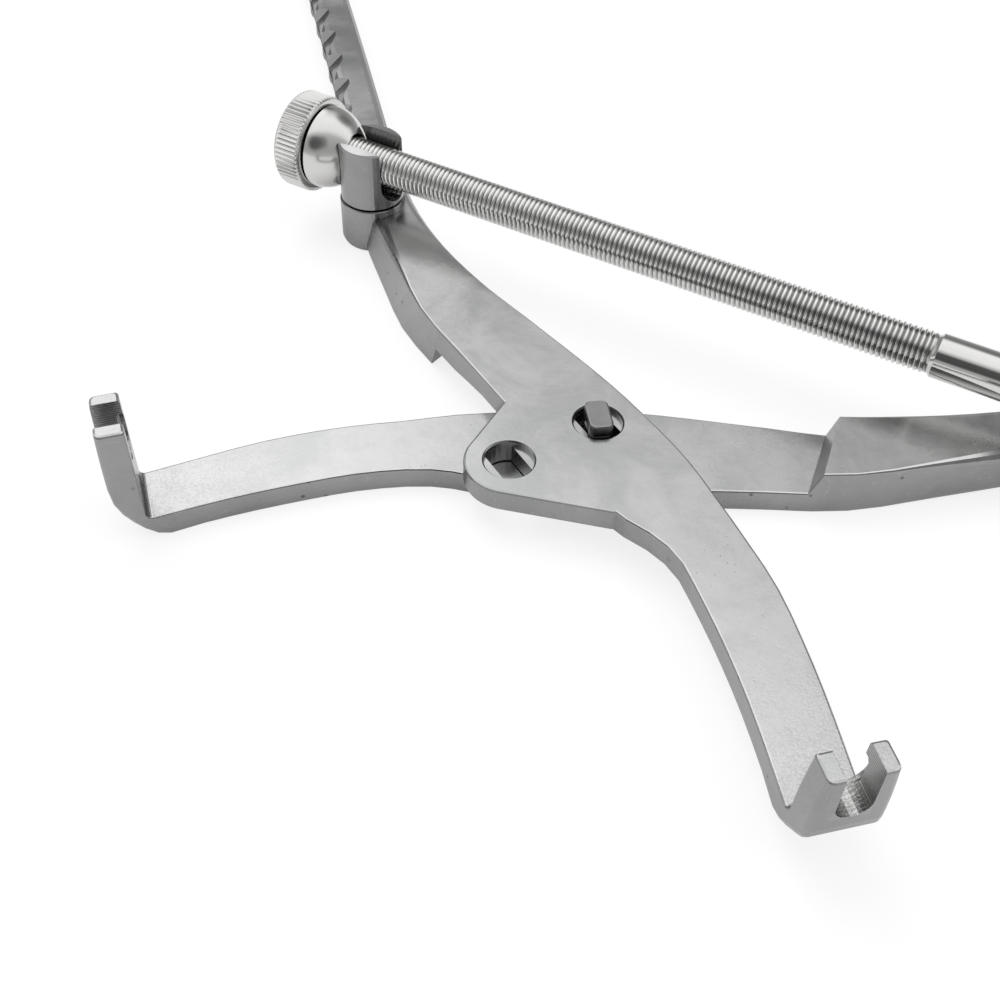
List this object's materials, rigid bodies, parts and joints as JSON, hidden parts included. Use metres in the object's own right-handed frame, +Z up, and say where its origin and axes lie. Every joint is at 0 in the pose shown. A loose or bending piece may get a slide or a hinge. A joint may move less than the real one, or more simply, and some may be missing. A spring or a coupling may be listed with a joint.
{
  "type": "pelvic reduction forceps",
  "caption": "Pelvic reduction forceps: two crossing arms with notched upturned jaws, a two-position pivot, and a hinged screw spindle with a ball-nosed thumb nut.",
  "frame": {"origin": "on the pivot axis, at the flat foot of the pivot pin, in the plane that the forceps lie on", "axes": "+Z up, along the pivot axis towards the head of the pin; -X the way the lower arm's fork faces with the jaws at the widest; the upper arm's fork then faces close to -Y, and the handles run towards +X and +Y"},
  "size_m": [0.3219, 0.3239, 0.03],
  "materials": {
    "lower_arm_steel": "satin, bead-blasted look with fine scratches",
    "upper_arm_steel": "satin, bead-blasted look with fine scratches",
    "pivot_pin_steel": "satin, a little darker",
    "slotted_post_steel": "satin",
    "slotted_post_washer_steel": "satin",
    "clevis_post_steel": "satin",
    "clevis_post_washer_steel": "satin",
    "hinge_pin_steel": "ground",
    "threaded_spindle_steel": "bright turned thread, polished shank",
    "ball_nut_steel": "mirror polished nose",
    "knurled_wheel_steel": "bright, fine straight knurl"
  },
  "bodies": {
    "lower_arm": {"lower_arm": "lower_arm_steel", "pivot_pin": "pivot_pin_steel"},
    "upper_arm": {"upper_arm": "upper_arm_steel"},
    "slotted_post": {"slotted_post": "slotted_post_steel", "slotted_post_washer": "slotted_post_washer_steel"},
    "spindle": {"clevis_post": "clevis_post_steel", "clevis_post_washer": "clevis_post_washer_steel", "hinge_pin": "hinge_pin_steel", "threaded_spindle": "threaded_spindle_steel"},
    "nut": {"ball_nut": "ball_nut_steel", "knurled_wheel": "knurled_wheel_steel"}
  },
  "joints": [
    {"name": "arm_hinge", "type": "hinge", "parent": "lower_arm", "child": "upper_arm", "pos_m": [0, 0, 0], "axis": [0, 0, -1], "range_deg": [0, 90]},
    {"name": "post_swivel", "type": "hinge", "parent": "upper_arm", "child": "slotted_post", "pos_m": [-0.02312, 0.08335, 0], "axis": [0, 0, 1], "range_deg": [0, 45]},
    {"name": "spindle_swivel", "type": "hinge", "parent": "lower_arm", "child": "spindle", "pos_m": [0.08154, -0.02887, 0], "axis": [0, 0, -1], "range_deg": [0, 45]},
    {"name": "nut_spin", "type": "hinge", "parent": "slotted_post", "child": "nut", "pos_m": [-0.02312, 0.08335, 0.0194], "axis": [0.682, -0.7314, 0], "continuous": true}
  ],
  "couplings": [
    {"joint": "post_swivel", "follows": "arm_hinge", "ratio": 0.5},
    {"joint": "spindle_swivel", "follows": "arm_hinge", "ratio": 0.5}
  ]
}
